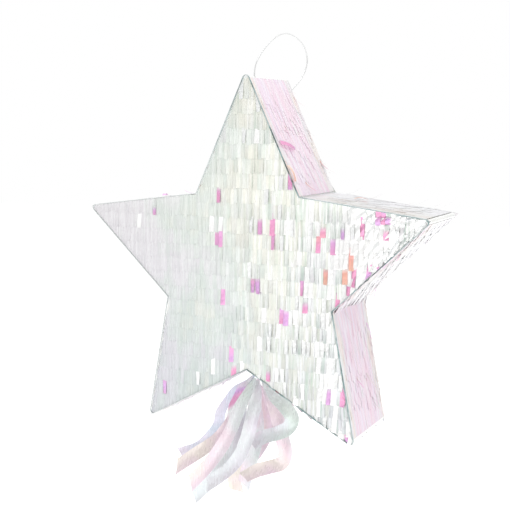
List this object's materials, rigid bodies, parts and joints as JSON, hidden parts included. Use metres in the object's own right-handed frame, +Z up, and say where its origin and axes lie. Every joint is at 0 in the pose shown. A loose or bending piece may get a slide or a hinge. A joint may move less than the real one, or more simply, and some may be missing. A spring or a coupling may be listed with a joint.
{
  "type": "pull-string pinata",
  "caption": "Five-pointed star pinata covered in cut film fringe, with a hanging loop, a fill flap in its back and a trap door underneath that pull ribbons open.",
  "frame": {"origin": "under the top of the hanging loop, where the hook's upper surface meets the nylon", "axes": "+Z up, +Y from the front of the star to its back, +X to the right of somebody who faces the front"},
  "size_m": [0.33, 0.1276, 0.4476],
  "materials": {
    "card": "matt brown card",
    "paper_tape": "matt brown gummed paper tape",
    "clear_tape": "clear glossy tape",
    "dark_film": "dark glossy film that shows as a line along the front edges",
    "base_film": "silvery pearl film",
    "front_fringe": "glossy iridescent film, pale mint, lavender and pink",
    "back_fringe": "glossy iridescent film, pale mint, lavender and pink",
    "wall_fringe": "glossy iridescent film, pale pink and lavender",
    "ribbon_film": "glossy iridescent film ribbon",
    "sticker": "clear glossy sticker",
    "nylon": "clear nylon line"
  },
  "bodies": {
    "loop": {"hanging_loop": "nylon"},
    "shell": {"front_panel": "card", "back_panel": "card", "side_strip_top": "card", "side_strip_right": "card", "side_strip_lower_right": "card", "side_strip_lower_left": "card", "side_strip_left": "card", "inside_seam_tapes": "paper_tape", "front_liner": "dark_film", "back_liner": "base_film", "wall_liner": "base_film", "hinge_tapes": "clear_tape", "loop_knots": "nylon", "front_fringe_01": "front_fringe", "front_fringe_02": "front_fringe", "front_fringe_03": "front_fringe", "front_fringe_04": "front_fringe", "front_fringe_05": "front_fringe", "front_fringe_06": "front_fringe", "front_fringe_07": "front_fringe", "front_fringe_08": "front_fringe", "front_fringe_09": "front_fringe", "front_fringe_10": "front_fringe", "front_fringe_11": "front_fringe", "front_fringe_12": "front_fringe", "front_fringe_13": "front_fringe", "front_fringe_14": "front_fringe", "front_fringe_15": "front_fringe", "front_fringe_16": "front_fringe", "front_fringe_17": "front_fringe", "front_fringe_18": "front_fringe", "front_fringe_19": "front_fringe", "front_fringe_20": "front_fringe", "front_fringe_21": "front_fringe", "front_fringe_22": "front_fringe", "front_fringe_23": "front_fringe", "front_fringe_24": "front_fringe", "back_fringe": "back_fringe", "wall_fringe_top": "wall_fringe", "wall_fringe_right": "wall_fringe", "wall_fringe_lower_right": "wall_fringe", "wall_fringe_lower_left": "wall_fringe", "wall_fringe_left": "wall_fringe"},
    "trap_door": {"trap_door": "card", "trap_door_fringe": "wall_fringe", "ribbon_knot": "ribbon_film"},
    "ribbons": {"ribbon_gather": "ribbon_film", "pull_ribbon_1": "ribbon_film", "pull_ribbon_2": "ribbon_film", "pull_ribbon_3": "ribbon_film", "pull_ribbon_4": "ribbon_film", "pull_ribbon_5": "ribbon_film", "pull_ribbon_6": "ribbon_film", "pull_ribbon_7": "ribbon_film", "pull_ribbon_8": "ribbon_film", "pull_ribbon_9": "ribbon_film"},
    "fill_flap": {"fill_flap": "card", "fill_flap_fringe": "back_fringe", "fill_flap_seal": "sticker"}
  },
  "joints": [
    {"name": "shell_swing", "type": "hinge", "parent": "loop", "child": "shell", "pos_m": [0, -0.066, -0.0412], "axis": [0, 0.9754, -0.2205], "range_deg": [-45, 45]},
    {"name": "trap_door_hinge", "type": "hinge", "parent": "shell", "child": "trap_door", "pos_m": [-0.05784, -0.042, -0.32986], "axis": [0, 1, 0], "range_deg": [0, 95]},
    {"name": "ribbon_hang", "type": "hinge", "parent": "trap_door", "child": "ribbons", "pos_m": [-0.00793, -0.042, -0.3127], "axis": [0, 1, 0], "range_deg": [-95, 0]},
    {"name": "fill_flap_hinge", "type": "hinge", "parent": "shell", "child": "fill_flap", "pos_m": [0, -0.0036, -0.2494], "axis": [-1, 0, 0], "range_deg": [0, 120]}
  ],
  "couplings": [
    {"joint": "ribbon_hang", "follows": "trap_door_hinge", "ratio": -1}
  ]
}
